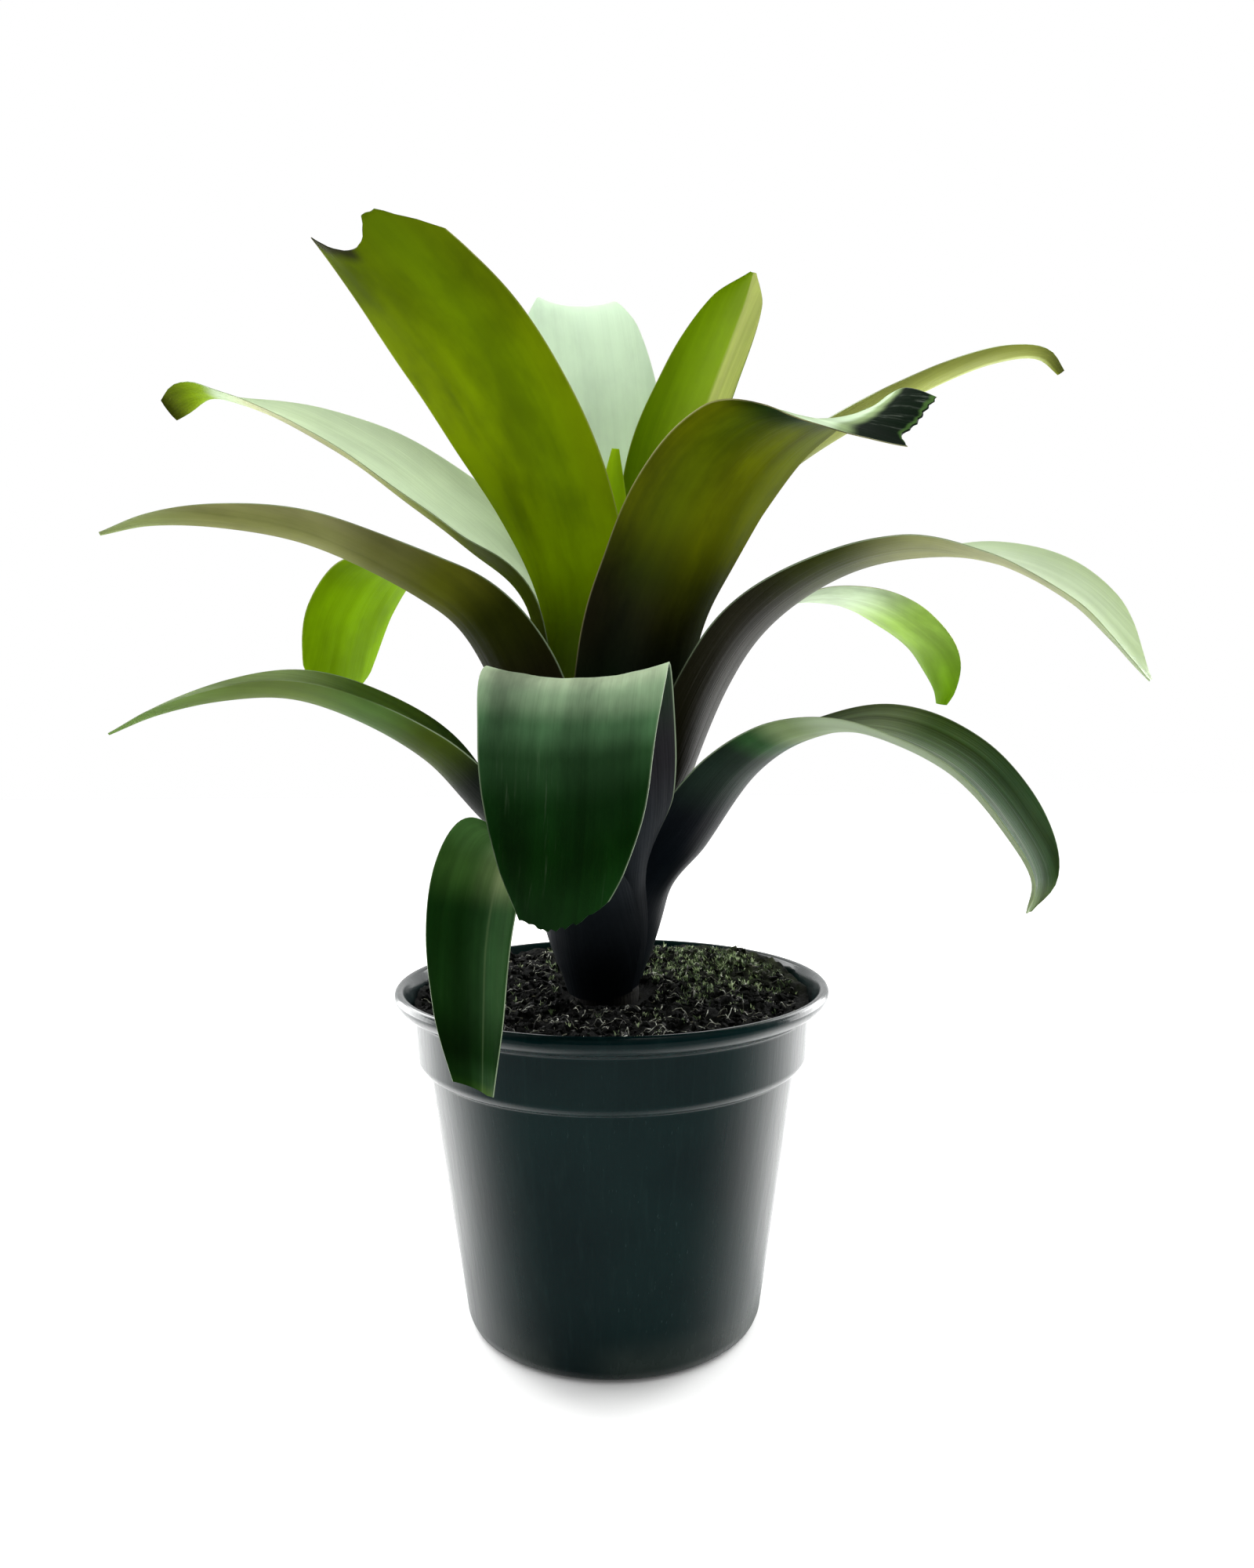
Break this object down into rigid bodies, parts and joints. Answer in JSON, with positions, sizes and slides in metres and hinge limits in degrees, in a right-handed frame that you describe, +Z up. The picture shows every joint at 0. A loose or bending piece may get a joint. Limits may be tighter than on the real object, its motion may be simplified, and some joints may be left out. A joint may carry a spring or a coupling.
{
  "type": "potted bromeliad",
  "caption": "Rosette plant with broad arching strap leaves that clasp a short stem, growing in a filled round tapered nursery pot with a rolled rim.",
  "frame": {"origin": "centre of the pot's underside, on the plane it rests on", "axes": "+Z up along the axis of the pot, -Y towards the viewer of the picture, +X to that viewer's right"},
  "size_m": [0.5447, 0.3613, 0.5978],
  "materials": {
    "pot_plastic": "satin, injection moulded",
    "potting_mix": "rough",
    "stem_bark": "rough",
    "leaf_blade": "waxy, finely ribbed"
  },
  "bodies": {
    "root": {"pot": "pot_plastic", "soil": "potting_mix", "stem": "stem_bark", "leaf_front_left_low": "leaf_blade", "leaf_right_low": "leaf_blade", "leaf_front_hanging": "leaf_blade", "leaf_back_low": "leaf_blade", "leaf_left_low": "leaf_blade", "leaf_right_mid": "leaf_blade", "leaf_back_right_low": "leaf_blade", "leaf_left_mid": "leaf_blade", "leaf_back_left_low": "leaf_blade", "leaf_front_right": "leaf_blade", "leaf_right_high": "leaf_blade", "leaf_left_high": "leaf_blade", "leaf_front_left_tall": "leaf_blade", "leaf_back_right_tall": "leaf_blade", "leaf_back_tall": "leaf_blade", "leaf_young_front": "leaf_blade", "leaf_young_back": "leaf_blade"}
  },
  "joints": []
}
